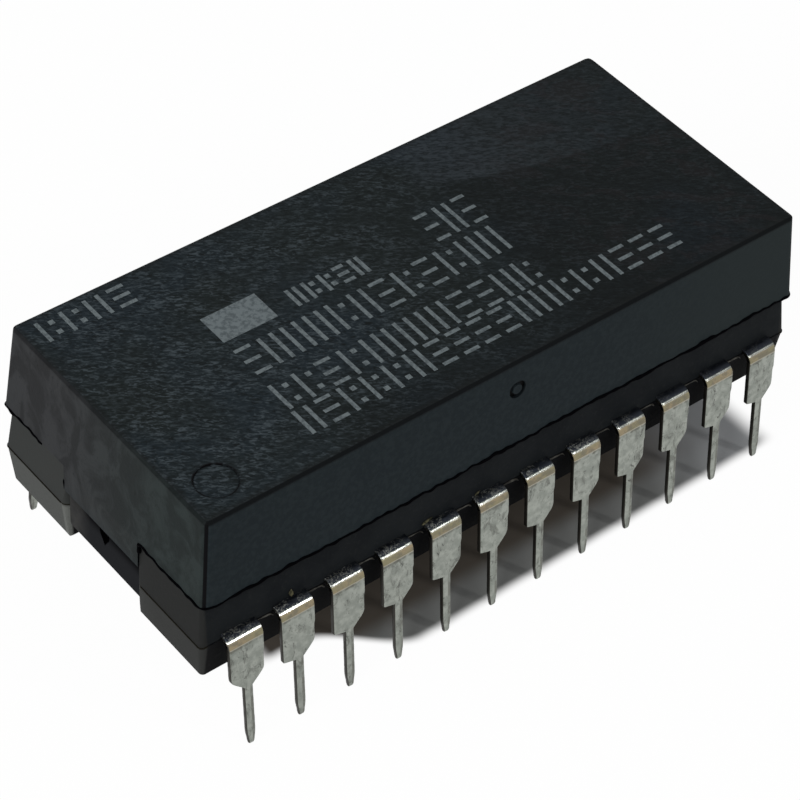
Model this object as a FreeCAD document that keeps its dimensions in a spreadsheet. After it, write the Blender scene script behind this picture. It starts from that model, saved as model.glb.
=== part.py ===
import FreeCAD, Part
import math
import os
import re
import Sketcher

# A battery-backed clock RAM module in a 24-lead dual-in-line package, in millimetres.
# Origin: the middle of the lead grid, on the seating plane that the lead shoulders rest on. +X runs
# along the rows from lead 1 to lead 12, -Y is the side of leads 1 to 12, +Z is up.

doc = FreeCAD.newDocument("clock_ram_module")
sheet = doc.addObject("Spreadsheet::Sheet", "Sizes")

LEADS_PER_SIDE = 12
# How far a cutting outline runs past what it cuts
MARGIN = 1.0

DRIVING = {
    # Lead grid and formed leads
    "lead_pitch": 2.54,
    "row_spacing": 15.24,
    "lead_splay": 5.8,
    "lead_thickness": 0.25,
    "lead_bend": 0.25,
    "lead_root": 0.9,
    "shoulder_width": 1.46,
    "shoulder_step": 0.15,
    "chamfer_rise": 0.42,
    "tip_width": 0.48,
    "tip_length": 3.38,
    "tip_point": 0.5,
    "tip_blunt": 0.3,
    # Fingers that fan in to the die
    "finger_width": 0.42,
    "finger_gap": 0.25,
    "side_finger_pitch": 1.0,
    "end_finger_pitch": 0.7,
    "fan_depth": 3.08,
    "notch_margin": 0.8,
    # Moulded base
    "standoff": 0.62,
    "lower_half": 1.865,
    "upper_half": 2.335,
    "end_lead_inset": 1.78,
    "side_setback": 0.69,
    "base_draft": 5.5,
    "base_edge_round": 0.2,
    "flash_reach": 0.03,
    "flash_thickness": 0.05,
    "notch_width": 5.0,
    "notch_depth": 1.8,
    "notch_round": 0.35,
    "ejector_diameter": 2.2,
    "ejector_depth": 0.1,
    "ejector_inset": 6.25,
    # Battery cap
    "cap_end_overhang": 0.185,
    "cap_side_overhang": 0.33,
    "cap_height": 4.405,
    "cap_draft": 4.5,
    "cap_wall": 0.5,
    "cap_roof": 0.7,
    "cap_corner_round": 0.3,
    "cap_edge_bevel": 0.14,
    "tongue_drop": 1.4,
    "tongue_thickness": 0.6,
    "tongue_clearance": 0.05,
    "pin_mark_diameter": 1.8,
    "pin_mark_depth": 0.06,
    "pin_mark_inset": 2.0,
    "gate_diameter": 0.84,
    "gate_core": 0.46,
    "gate_depth": 0.1,
    "gate_level": 2.9,
    # Filling in the cap and the notches
    "fill_face_inset": 0.22,
    "fill_rise": 0.3,
    "fill_round": 0.6,
    "vent_width": 0.56,
    "vent_height": 0.5,
    "vent_depth": 0.5,
    # Die, paddle and bond wires
    "paddle_length": 8.0,
    "tie_bar_width": 0.4,
    "die_end_margin": 0.8,
    "die_side_margin": 0.7,
    "die_thickness": 0.4,
    "wire_thickness": 0.05,
    "wire_loop": 0.35,
    "wire_landing": 0.15,
    # Terminals that carry the cell and the crystal
    "terminal_setback": 1.2,
    "terminal_rise": 1.78,
    # Lithium cell and its tabs
    "cell_side_gap": 0.07,
    "cell_height": 2.5,
    "cell_end_gap": 0.55,
    "cell_crimp": 0.35,
    "cell_edge_bevel": 0.15,
    "cell_gasket": 0.3,
    "cell_face_rise": 0.12,
    "tab_thickness": 0.15,
    "tab_width": 1.1,
    "tab_reach": 3.5,
    "tab_overlap": 1.3,
    "content_gap": 0.08,
    # Watch crystal
    "crystal_diameter": 2.0,
    "crystal_length": 6.0,
    "crystal_nose": 0.25,
    "crystal_seal": 0.25,
    "crystal_wire": 0.3,
    "crystal_wire_run": 4.05,
    "crystal_wire_pitch": 0.7,
}

DERIVED = {
    "base_length": f"{LEADS_PER_SIDE - 1} * lead_pitch + 2 * end_lead_inset",
    "base_width": "row_spacing - 2 * side_setback",
    "parting_level": "standoff + lower_half",
    "seam_level": "standoff + lower_half + upper_half",
    "lead_top": "parting_level + lead_thickness",
    "bend_outside": "lead_bend + lead_thickness",
    "bend_level": "lead_top - bend_outside",
    "seat_reach": "row_spacing / 2 + lead_thickness / (2 * cos(lead_splay))",
    "bend_reach": "seat_reach - bend_outside / cos(lead_splay) - bend_level * tan(lead_splay)",
    "leg_run": "(bend_level + lead_bend * sin(lead_splay) + tip_length) / cos(lead_splay)",
    "root_reach": "base_width / 2 - lead_root",
    "fan_lane": f"fan_depth / {2 * (LEADS_PER_SIDE // 2 - 2)}",
    "side_finger_end": "root_reach - fan_depth",
    "paddle_width": "2 * (side_finger_end - finger_gap)",
    "die_length": "paddle_length - 2 * die_end_margin",
    "die_width": "paddle_width - 2 * die_side_margin",
    "end_finger_end": "paddle_length / 2 + finger_gap",
    "notch_wall": "base_length / 2 - notch_depth",
    "end_knee": "notch_wall - notch_margin - finger_width / 2",
    "ejector_spread": "base_length - 2 * ejector_inset",
    "cap_length": "base_length - 2 * upper_half * tan(base_draft) + 2 * cap_end_overhang",
    "cap_width": "base_width - 2 * upper_half * tan(base_draft) + 2 * cap_side_overhang",
    "cap_top": "seam_level + cap_height",
    "cavity_length": "cap_length - 2 * cap_wall",
    "cavity_width": "cap_width - 2 * cap_wall",
    "cavity_height": "cap_height - cap_roof",
    "tongue_level": "seam_level - tongue_drop",
    "tongue_inside": "cap_length / 2 - tongue_thickness",
    "notch_bend": "base_length / 2 - notch_round",
    "tongue_flare": "sqrt((notch_round + tongue_clearance) ^ 2 - (cap_length / 2 - notch_bend) ^ 2)",
    "tongue_mouth": "notch_width / 2 + notch_round - tongue_flare",
    "fill_face": "base_length / 2 - fill_face_inset",
    "fill_level": "standoff + fill_rise",
    "terminal_outside": "base_length / 2 - terminal_setback + lead_thickness",
    "terminal_inside": "base_length / 2 - terminal_setback",
    "terminal_top": "seam_level + terminal_rise",
    "tab_inside": "terminal_inside - tab_thickness",
    "cell_level": "seam_level + content_gap + tab_thickness",
    "cell_top": "cell_level + cell_height",
    "cell_diameter": "cavity_width - 2 * (cell_top - seam_level) * tan(cap_draft) - 2 * cell_side_gap",
    "cell_offset": "tab_inside - cell_end_gap - cell_diameter / 2",
    "crystal_level": "seam_level + content_gap + crystal_diameter / 2",
    "crystal_end": "terminal_inside - crystal_wire_run",
    "crystal_start": "crystal_end - crystal_length",
    "die_level": "lead_top + die_thickness",
}


def cells(text):
    """The expression with each size in it named as a cell of the sheet."""
    return re.sub(r"\b[a-z]+(?:_[a-z]+)+\b|\bstandoff\b", r"Sizes.\g<0>", text)


def number(text):
    """What an expression of sizes comes to now."""
    return float(sheet.evalExpression(cells(text)))


def bind(item, **properties):
    """Ties properties of a feature to expressions of the sheet's sizes."""
    for name, text in properties.items():
        item.setExpression(name.replace("__", "."), cells(text))


def fill_sheet():
    for row, (alias, value) in enumerate(DRIVING.items(), start=1):
        sheet.set(f"A{row}", alias)
        sheet.set(f"B{row}", str(value))
        sheet.setAlias(f"B{row}", alias)
    for row, (alias, formula) in enumerate(DERIVED.items(), start=len(DRIVING) + 2):
        sheet.set(f"A{row}", alias)
        sheet.set(f"B{row}", "=" + formula)
        sheet.setAlias(f"B{row}", alias)
    doc.recompute()


def new_body(label):
    body = doc.addObject("PartDesign::Body", label)
    body.Label = label
    return body


def attach(body, item, plane, lift):
    """Lays an item on one of the body's own origin planes, lifted along the plane's normal."""
    support = next(feature for feature in body.Origin.OriginFeatures if feature.Role == plane)
    item.AttachmentSupport = [(support, "")]
    item.MapMode = "FlatFace"
    if lift != "0":
        bind(item, AttachmentOffset__Base__z=lift)


def new_sketch(body, name, plane, lift="0"):
    sketch = body.newObject("Sketcher::SketchObject", name)
    attach(body, sketch, plane, lift)
    return sketch


def pin(sketch, edge, point, corner):
    """Holds one end of an edge at a corner given by two expressions."""
    for kind, text in zip(("DistanceX", "DistanceY"), corner):
        index = sketch.addConstraint(Sketcher.Constraint(kind, -1, 1, edge, point, number(text)))
        if re.search("[a-z]", text):
            sketch.setExpression(f"Constraints[{index}]", cells(text))


def arc_between(start, stop, radius, turn):
    """The short arc from start to stop; turn is 1 for anticlockwise and -1 for clockwise."""
    chord = stop - start
    left = FreeCAD.Vector(-chord.y, chord.x, 0).normalize()
    rise = math.sqrt(max(radius ** 2 - chord.Length ** 2 / 4, 0))
    centre = start + chord * 0.5 + left * rise * turn
    first, last = (start, stop) if turn > 0 else (stop, start)
    angles = [math.atan2(point.y - centre.y, point.x - centre.x) for point in (first, last)]
    if angles[1] < angles[0]:
        angles[1] += 2 * math.pi
    circle = Part.Circle(centre, FreeCAD.Vector(0, 0, 1), radius)
    return Part.ArcOfCircle(circle, *angles)


def draw(sketch, corners, arcs=None, closed=True):
    """Joins corners, each a pair of expressions, by lines, or by the arcs given as
    {first corner: (radius, turn)}."""
    arcs = arcs or {}
    first = sketch.GeometryCount
    points = [FreeCAD.Vector(number(across), number(up), 0) for across, up in corners]
    count = len(points) if closed else len(points) - 1
    for index in range(count):
        start, stop = points[index], points[(index + 1) % len(points)]
        if index in arcs:
            radius, turn = arcs[index]
            sketch.addGeometry(arc_between(start, stop, number(radius), turn), False)
        else:
            sketch.addGeometry(Part.LineSegment(start, stop), False)
    begins = [2 if index in arcs and arcs[index][1] < 0 else 1 for index in range(count)]
    for index in range(count):
        edge = first + index
        pin(sketch, edge, begins[index], corners[index])
        if index + 1 < count or closed:
            following = (index + 1) % count
            sketch.addConstraint(Sketcher.Constraint(
                "Coincident", edge, 3 - begins[index], first + following, begins[following]))
        else:
            pin(sketch, edge, 3 - begins[index], corners[-1])
        if index in arcs:
            radius = arcs[index][0]
            held = sketch.addConstraint(Sketcher.Constraint("Radius", edge, number(radius)))
            sketch.setExpression(f"Constraints[{held}]", cells(radius))


def draw_circle(sketch, centre, diameter):
    edge = sketch.addGeometry(Part.Circle(
        FreeCAD.Vector(number(centre[0]), number(centre[1]), 0), FreeCAD.Vector(0, 0, 1),
        number(diameter) / 2), False)
    pin(sketch, edge, 3, centre)
    held = sketch.addConstraint(Sketcher.Constraint("Diameter", edge, number(diameter)))
    sketch.setExpression(f"Constraints[{held}]", cells(diameter))


def box_corners(half_length, half_width):
    """The four corners of a rectangle about the middle."""
    return [(f"-({half_length})", f"-({half_width})"), (half_length, f"-({half_width})"),
            (half_length, half_width), (f"-({half_length})", half_width)]


def round_corners(half_length, half_width, radius):
    """A rectangle about the middle with round corners, as corners and arcs to draw."""
    inner_length, inner_width = f"({half_length} - ({radius}))", f"({half_width} - ({radius}))"
    right = [(inner_length, f"-({half_width})"), (half_length, f"-{inner_width}"),
             (half_length, inner_width), (inner_length, half_width)]
    left = [(f"-({across})", up) for across, up in reversed(right)]
    return right + left, {corner: (radius, 1) for corner in (0, 2, 4, 6)}


def pad(body, sketch, length, name, symmetric=False, reverse=False, draft=None):
    feature = body.newObject("PartDesign::Pad", name)
    feature.Profile = sketch
    feature.SideType = "Symmetric" if symmetric else "One side"
    feature.Reversed = reverse
    bind(feature, Length=length)
    if draft:
        bind(feature, TaperAngle=f"-({draft})")
    return feature


def pocket(body, sketch, length, name, through=False, reverse=False, draft=None):
    """Cuts the sketch into the body, to a depth or right through on both sides of its plane."""
    doc.recompute()
    before = body.Shape.Volume
    feature = body.newObject("PartDesign::Pocket", name)
    feature.Profile = sketch
    feature.Reversed = reverse
    if through:
        feature.SideType = "Symmetric"
        feature.Type = "ThroughAll"
    else:
        bind(feature, Length=length)
    if draft:
        bind(feature, TaperAngle=f"-({draft})")
    doc.recompute()
    if not body.Shape.Volume < before:
        raise RuntimeError(f"{body.Label}: {name} cuts nothing")
    return feature


def trim_edges(body, size, name, chosen, bevel=False):
    """Rounds or bevels the edges of the body's tip for which chosen(edge) holds."""
    doc.recompute()
    base = body.Tip
    names = [f"Edge{index}" for index, edge in enumerate(base.Shape.Edges, start=1) if chosen(edge)]
    if not names:
        raise RuntimeError(f"{body.Label}: {name} finds no edge")
    feature = body.newObject("PartDesign::Chamfer" if bevel else "PartDesign::Fillet", name)
    feature.Base = (base, names)
    bind(feature, **{"Size" if bevel else "Radius": size})
    return feature


def lean_walls(body, level, draft, name, reverse=False):
    """Leans in the walls of the body's tip that still stand straight, from the level given."""
    doc.recompute()
    base = body.Tip
    walls = [f"Face{index}" for index, face in enumerate(base.Shape.Faces, start=1)
             if abs(face.normalAt(0, 0).z) < 1e-6]
    plane = body.newObject("PartDesign::Plane", f"{name}_level")
    attach(body, plane, "XY_Plane", level)
    feature = body.newObject("PartDesign::Draft", name)
    feature.Base = (base, walls)
    feature.NeutralPlane = (plane, [""])
    feature.Reversed = reverse
    bind(feature, Angle=draft)
    return feature


def sweep(body, name, path, section, lift, profile_plane, profile_lift):
    """Sweeps a section along a path of straight runs drawn at one level."""
    spine = new_sketch(body, f"{name}_path", "XY_Plane", lift)
    draw(spine, path, closed=False)
    profile = new_sketch(body, f"{name}_section", profile_plane, profile_lift)
    section(profile)
    feature = body.newObject("PartDesign::AdditivePipe", name)
    feature.Profile = profile
    feature.Spine = spine
    feature.Transition = "Right corner"
    return feature


def spin_about_z(item, half_turn, across="0", along="0", up="0"):
    """Places a sub-part, turned half round where it belongs to the far side or end."""
    item.Placement = FreeCAD.Placement(
        FreeCAD.Vector(number(across), number(along), number(up)),
        FreeCAD.Rotation(FreeCAD.Vector(0, 0, 1), 180 if half_turn else 0))
    bind(item, Placement__Base__x=across, Placement__Base__y=along, Placement__Base__z=up)


# Formed leads. Each is stamped from the lead frame: a finger runs in to the die, a wide shoulder leaves
# the base at the parting plane, bends down and splays a little, and steps in to a narrow tip.

def lead_side_view(sketch):
    """The strip's thickness from its root, round the bend, to the end of the tip."""
    down = ("sin(lead_splay)", "cos(lead_splay)")
    inner = ("-bend_reach - lead_bend * cos(lead_splay)", "bend_level + lead_bend * sin(lead_splay)")
    outer = ("-bend_reach - bend_outside * cos(lead_splay)",
             "bend_level + bend_outside * sin(lead_splay)")
    foot = [(f"{side[0]} - leg_run * {down[0]}", f"{side[1]} - leg_run * {down[1]}")
            for side in (inner, outer)]
    corners = [("-root_reach", "parting_level"), ("-bend_reach", "parting_level"), inner, foot[0],
               foot[1], outer, ("-bend_reach", "lead_top"), ("-root_reach", "lead_top")]
    draw(sketch, corners, {1: ("lead_bend", 1), 5: ("bend_outside", -1)})


def trim_outline(sketch, side, square):
    """One side of what is trimmed off the leg: a square step or a chamfer, then the tip's edge."""
    half = f"{side} * shoulder_width / 2"
    clear = f"{side} * (shoulder_width / 2 + {MARGIN})"
    tip = f"{side} * tip_width / 2"
    blunt = f"{side} * tip_blunt / 2"
    top = "0" if square else "chamfer_rise"
    below = f"-tip_length - {MARGIN}"
    draw(sketch, [(half, top), (tip, "-shoulder_step"), (tip, "tip_point - tip_length"),
                  (blunt, "-tip_length"), (blunt, below), (clear, below), (clear, top)])


def finger_path(order, side):
    """The finger's middle line, in the lead's own frame, for a lead that stands order + 1/2
    pitches from the middle. Outer leads turn in along the body to the paddle's ends."""
    place = f"{side} * {order + 0.5}"
    start = ("0", "-root_reach - finger_gap")
    middle = LEADS_PER_SIDE // 2
    if order == middle - 1:
        knee = f"{side} * end_knee - {place} * lead_pitch"
        row = "-2 * end_finger_pitch"
        return [start, ("0", "-root_reach"), (knee, f"-root_reach + abs({knee})"), (knee, row),
                (f"{side} * end_finger_end - {place} * lead_pitch", row)]
    if order == middle - 2:
        row = "-3 * end_finger_pitch"
        return [start, ("0", row), (f"{side} * end_finger_end - {place} * lead_pitch", row)]
    inner = f"{place} * (side_finger_pitch - lead_pitch)"
    near = f"-side_finger_end - finger_width - {middle - 2 - order} * fan_lane"
    return [start, ("0", f"-root_reach + {order + 1} * fan_lane"), (inner, near),
            (inner, "-side_finger_end")]


def finger_section(sketch):
    draw(sketch, [("-finger_width / 2", "parting_level"), ("finger_width / 2", "parting_level"),
                  ("finger_width / 2", "lead_top"), ("-finger_width / 2", "lead_top")])


def make_lead(number_on_side, far_row):
    """Lead number_on_side counts from 1; the far row is the near row turned half round."""
    label = f"lead_{number_on_side + (LEADS_PER_SIDE if far_row else 0):02d}"
    steps = number_on_side - (LEADS_PER_SIDE + 1) / 2
    body = new_body(label)
    side_view = new_sketch(body, label + "_side_view", "YZ_Plane")
    lead_side_view(side_view)
    pad(body, side_view, "shoulder_width", label + "_strip", symmetric=True)
    trims = new_sketch(body, label + "_trims", "XZ_Plane")
    trim_outline(trims, "-1", square=number_on_side > 1)
    trim_outline(trims, "1", square=False)
    pocket(body, trims, None, label + "_trim", through=True)
    sweep(body, label + "_finger", finger_path(int(abs(steps)), "1" if steps > 0 else "-1"),
          finger_section, "parting_level + lead_thickness / 2", "XZ_Plane", "root_reach + finger_gap")
    spin_about_z(body, far_row, across=f"{-steps if far_row else steps} * lead_pitch")
    return body


# Terminals. At each end of the base two strips of the lead frame come out into the notch and turn up
# into the cap: one end carries the cell, the other the crystal.

def make_terminal(label, row, far_end):
    body = new_body(label)
    side_view = new_sketch(body, label + "_side_view", "XZ_Plane")
    corner = "terminal_outside - bend_outside"
    draw(side_view, [("-end_finger_end", "lead_top"),
                     (f"-({corner})", "lead_top"), ("-terminal_inside", "lead_top + lead_bend"),
                     ("-terminal_inside", "terminal_top"), ("-terminal_outside", "terminal_top"),
                     ("-terminal_outside", "lead_top + lead_bend"),
                     (f"-({corner})", "parting_level"), ("-end_finger_end", "parting_level")],
         {1: ("lead_bend", -1), 5: ("bend_outside", 1)})
    pad(body, side_view, "finger_width", label + "_strip", symmetric=True)
    spin_about_z(body, far_end, along=f"{row} * end_finger_pitch")
    return body


# Die, paddle and bond wires, sealed inside the base. The paddle's tie bars held it in the lead frame
# and are cut flush with the notch walls.

def make_paddle():
    body = new_body("die_paddle")
    outline = new_sketch(body, "paddle_outline", "XY_Plane", "parting_level")
    side, end, bar, wall = "paddle_width / 2", "paddle_length / 2", "tie_bar_width / 2", "notch_wall"
    quarter = [(wall, bar), (end, bar), (end, side)]
    mirrored = [(f"-{across}", up) for across, up in reversed(quarter)]
    draw(outline, quarter + mirrored + [(across, f"-{up}") for across, up in reversed(mirrored)]
         + [(across, f"-{up}") for across, up in reversed(quarter)])
    pad(body, outline, "lead_thickness", "paddle_plate")
    return body


def make_die():
    die = doc.addObject("Part::Box", "silicon_die")
    bind(die, Length="die_length", Width="die_width", Height="die_thickness",
         Placement__Base__x="-die_length / 2", Placement__Base__y="-die_width / 2",
         Placement__Base__z="lead_top")
    return die


def bond_wire(landing, pad_point):
    """A thin wire that rises from the die, arches over and comes down on a finger's end."""
    thick = number("wire_thickness")
    low, high, loop = number("lead_top"), number("die_level"), number("wire_loop")
    along = landing - pad_point
    reach = along.Length
    along.normalize()
    across = FreeCAD.Vector(-along.y, along.x, 0) * thick
    line = [(0, high), (0.15 * reach, high + loop), (0.45 * reach, high + loop), (reach, low)]
    under = [(0.15 * reach + thick, high + loop - thick), (0.45 * reach - thick, high + loop - thick)]
    profile = line + [(reach - thick, low)] + under[::-1] + [(thick, high)]
    points = [pad_point + along * run + FreeCAD.Vector(0, 0, level) - across * 0.5
              for run, level in profile]
    return Part.Face(Part.makePolygon(points + points[:1])).extrude(across)


def make_bond_wires():
    """One wire to each of the fingers that end round the paddle."""
    landing = number("wire_landing")
    side_end, row_end = number("side_finger_end") + landing, number("end_finger_end") + landing
    pads_across, pads_along = number("die_length") / 2 - landing, number("die_width") / 2 - landing
    wires = []
    side_fingers = LEADS_PER_SIDE // 2 - 2
    for side in (-1, 1):
        for step in range(2 * side_fingers):
            share = (step + 0.5) / side_fingers - 1
            across = share * side_fingers * number("side_finger_pitch")
            wires.append(bond_wire(FreeCAD.Vector(across, side * side_end, 0),
                                   FreeCAD.Vector(share * pads_across, side * pads_along, 0)))
        for row in (-3, -2, -1, 1, 2, 3):
            along = row * number("end_finger_pitch")
            wires.append(bond_wire(FreeCAD.Vector(side * row_end, along, 0),
                                   FreeCAD.Vector(side * pads_across, row / 4 * pads_along, 0)))
    group = doc.addObject("Part::Feature", "bond_wires")
    group.Shape = Part.makeCompound(wires)
    group.Placement = FreeCAD.Placement()
    return group


# Moulded base: two halves with draft that meet at the parting plane, where a thin flash stands proud,
# an open notch at each end, and two ejector marks underneath.

def upright(edge):
    """Whether an edge rises between levels."""
    return edge.BoundBox.ZLength > 0.3 * max(edge.BoundBox.XLength, edge.BoundBox.YLength)


def make_base_moulding():
    body = new_body("base_moulding")
    parting = new_sketch(body, "base_parting_up", "XY_Plane", "parting_level")
    draw(parting, box_corners("base_length / 2", "base_width / 2"))
    pad(body, parting, "upper_half", "base_upper_half")
    lean_walls(body, "parting_level", "base_draft", "base_upper_draft")
    parting_down = new_sketch(body, "base_parting_down", "XY_Plane", "parting_level")
    draw(parting_down, box_corners("base_length / 2", "base_width / 2"))
    pad(body, parting_down, "lower_half", "base_lower_half", reverse=True)
    lean_walls(body, "parting_level", "base_draft", "base_lower_draft", reverse=True)
    trim_edges(body, "base_edge_round", "base_corners", upright)
    flash = new_sketch(body, "base_flash_outline", "XY_Plane", "parting_level")
    draw(flash, *round_corners("base_length / 2 + flash_reach", "base_width / 2 + flash_reach",
                               "base_edge_round + flash_reach"))
    pad(body, flash, "flash_thickness", "base_flash", symmetric=True)
    for end, turn in (("-1", 1), ("1", -1)):
        notch = new_sketch(body, f"base_notch_outline_{end}", "XY_Plane", "parting_level")
        side, flare = "notch_width / 2", "(notch_width / 2 + notch_round)"
        lip = [(f"{end} * notch_wall", side), (f"{end} * notch_bend", side),
               (f"{end} * base_length / 2", flare), (f"{end} * (base_length / 2 + {MARGIN})", flare)]
        draw(notch, [(across, f"-{along}") for across, along in lip] + lip[::-1],
             {1: ("notch_round", turn), 5: ("notch_round", turn)})
        pocket(body, notch, None, f"base_notch_{end}", through=True)
    marks = new_sketch(body, "base_ejector_marks", "XY_Plane", "standoff")
    for end in ("-1", "1"):
        draw_circle(marks, (f"{end} * ejector_spread / 2", "0"), "ejector_diameter")
    pocket(body, marks, "ejector_depth", "base_ejectors", reverse=True)
    return body


# Battery cap: a drafted five-sided shell that seats on the base, with a tongue that fills the mouth of
# each end notch, a shallow round mark at lead 1 and the ring left by the mould's gate on the near side.

def make_cap():
    body = new_body("battery_cap")
    rim = new_sketch(body, "cap_rim", "XY_Plane", "seam_level")
    draw(rim, box_corners("cap_length / 2", "cap_width / 2"))
    pad(body, rim, "cap_height", "cap_block")
    lean_walls(body, "seam_level", "cap_draft", "cap_draft_walls")
    trim_edges(body, "cap_corner_round", "cap_corners", upright)
    roof = number("cap_top")
    trim_edges(body, "cap_edge_bevel", "cap_top_edge",
               lambda edge: edge.BoundBox.ZMin > roof - 1e-4, bevel=True)
    for end, turn in (("-1", -1), ("1", 1)):
        tongue = new_sketch(body, f"cap_tongue_outline_{end}", "XY_Plane", "tongue_level")
        outside, inside = f"{end} * cap_length / 2", f"{end} * tongue_inside"
        edge = "(notch_width / 2 - tongue_clearance)"
        side = [(inside, edge), (f"{end} * notch_bend", edge), (outside, "tongue_mouth")]
        flare = ("notch_round + tongue_clearance", turn)
        draw(tongue, [(across, f"-{along}") for across, along in reversed(side)] + side,
             {0: flare, 4: flare})
        pad(body, tongue, "tongue_drop", f"cap_tongue_{end}")
    cavity = new_sketch(body, "cap_cavity_outline", "XY_Plane", "seam_level")
    draw(cavity, box_corners("cavity_length / 2", "cavity_width / 2"))
    pocket(body, cavity, "cavity_height", "cap_cavity", reverse=True, draft="cap_draft")
    mark = new_sketch(body, "cap_pin_mark_outline", "XY_Plane", "cap_top")
    draw_circle(mark, ("pin_mark_inset - cap_length / 2", "pin_mark_inset - cap_width / 2"),
                "pin_mark_diameter")
    pocket(body, mark, "pin_mark_depth", "cap_pin_mark")
    gate = new_sketch(body, "cap_gate_outline", "XZ_Plane", "cap_width / 2")
    for diameter in ("gate_diameter", "gate_core"):
        draw_circle(gate, ("0", "seam_level + gate_level"), diameter)
    pocket(body, gate, "gate_level * tan(cap_draft) + gate_depth", "cap_gate")
    return body


# Filling: cast into the cap and up both notches round the cell, the crystal and their strips.

def make_filling():
    body = new_body("filling_cast")
    cavity = new_sketch(body, "fill_cavity_outline", "XY_Plane", "seam_level")
    draw(cavity, box_corners("cavity_length / 2", "cavity_width / 2"))
    pad(body, cavity, "cavity_height", "fill_cavity", draft="cap_draft")
    for end, turn in (("-1", 1), ("1", -1)):
        notch = new_sketch(body, f"fill_notch_profile_{end}", "XZ_Plane")
        draw(notch, [(f"{end} * notch_wall", "seam_level"), (f"{end} * tongue_inside", "seam_level"),
                     (f"{end} * tongue_inside", "tongue_level"), (f"{end} * fill_face", "tongue_level"),
                     (f"{end} * fill_face", "fill_level + fill_round"),
                     (f"{end} * (fill_face - fill_round)", "fill_level"),
                     (f"{end} * notch_wall", "fill_level")], {4: ("fill_round", turn)})
        pad(body, notch, "notch_width", f"fill_notch_{end}", symmetric=True)
        vent = new_sketch(body, f"fill_vent_outline_{end}", "YZ_Plane", f"{end} * fill_face")
        draw(vent, [("-vent_width / 2", "tongue_level - vent_height"),
                    ("vent_width / 2", "tongue_level - vent_height"),
                    ("vent_width / 2", "tongue_level"), ("-vent_width / 2", "tongue_level")])
        pocket(body, vent, "vent_depth", f"fill_vent_{end}", reverse=end == "-1")
    return body


# Lithium cell: a steel can crimped over a gasket on its negative face, which looks down.

def make_cell():
    body = new_body("button_cell")
    half = new_sketch(body, "cell_half_section", "XZ_Plane")
    rim = "cell_diameter / 2"
    face = "(cell_diameter / 2 - cell_crimp - cell_gasket)"
    draw(half, [("0", "0"), (face, "0"), (face, "2 * cell_face_rise"),
                (f"{rim} - cell_crimp", "2 * cell_face_rise"),
                (f"{rim} - cell_crimp", "cell_face_rise"), (rim, "cell_face_rise + cell_crimp"),
                (rim, "cell_height - cell_edge_bevel"), (f"{rim} - cell_edge_bevel", "cell_height"),
                ("0", "cell_height")])
    turn = body.newObject("PartDesign::Revolution", "cell_turn")
    turn.Profile = half
    turn.ReferenceAxis = (half, ["V_Axis"])
    turn.Angle = 360
    spin_about_z(body, False, across="-cell_offset", up="cell_level")
    return body


def make_tab(label, row, strip_low, strip_high, leg_end):
    """A nickel strip welded flat on one face of the cell, bent to lie against its terminal."""
    body = new_body(label)
    side_view = new_sketch(body, label + "_side_view", "XZ_Plane")
    reach = "tab_reach - cell_offset"
    far, near = "-terminal_inside", "-tab_inside"
    if leg_end == "down":
        corners = [(reach, strip_low), (reach, strip_high), (far, strip_high),
                   (far, "terminal_top - tab_overlap"), (near, "terminal_top - tab_overlap"),
                   (near, strip_low)]
    else:
        corners = [(reach, strip_high), (reach, strip_low), (far, strip_low),
                   (far, f"{strip_low} + tab_overlap"), (near, f"{strip_low} + tab_overlap"),
                   (near, strip_high)]
    draw(side_view, corners)
    pad(body, side_view, "tab_width", label + "_strip", symmetric=True)
    spin_about_z(body, False, along=f"{row} * end_finger_pitch")
    return body


# Watch crystal: a drawn can closed by a glass seal, with two wires that splay to its terminals.

def make_crystal():
    body = new_body("crystal_can")
    half = new_sketch(body, "crystal_half_section", "XZ_Plane")
    wall, nose = "crystal_diameter / 2", "crystal_nose"
    draw(half, [("0", "0"), ("crystal_length", "0"), ("crystal_length", f"{wall} - crystal_seal"),
                ("crystal_length - crystal_seal", f"{wall} - crystal_seal"),
                ("crystal_length - crystal_seal", wall), (nose, wall), ("0", f"{wall} - {nose}")])
    turn = body.newObject("PartDesign::Revolution", "crystal_turn")
    turn.Profile = half
    turn.ReferenceAxis = (half, ["H_Axis"])
    turn.Angle = 360
    spin_about_z(body, False, across="crystal_start", up="crystal_level")
    return body


def make_crystal_lead(label, side):
    body = new_body(label)
    inner, outer = f"{side} * crystal_wire_pitch / 2", f"{side} * end_finger_pitch"
    sweep(body, label + "_wire", [("0", inner), ("terminal_inside - crystal_end", outer)],
          lambda sketch: draw_circle(sketch, (inner, "0"), "crystal_wire"), "0", "YZ_Plane", "0")
    spin_about_z(body, False, across="crystal_end", up="crystal_level")
    return body


def cut_out(label, base, steps):
    """Takes each group of pieces out of a casting in turn; the last cut is the sub-part."""
    for index, pieces in enumerate(steps, start=1):
        tool = pieces[0]
        if len(pieces) > 1:
            tool = doc.addObject("Part::Compound", f"{label}_contents_{index}")
            tool.Links = pieces
        last = index == len(steps)
        cut = doc.addObject("Part::Cut", label if last else f"{label}_cut_{index}")
        cut.Base = base
        cut.Tool = tool
        base = cut
    base.Label = label
    return base


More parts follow.
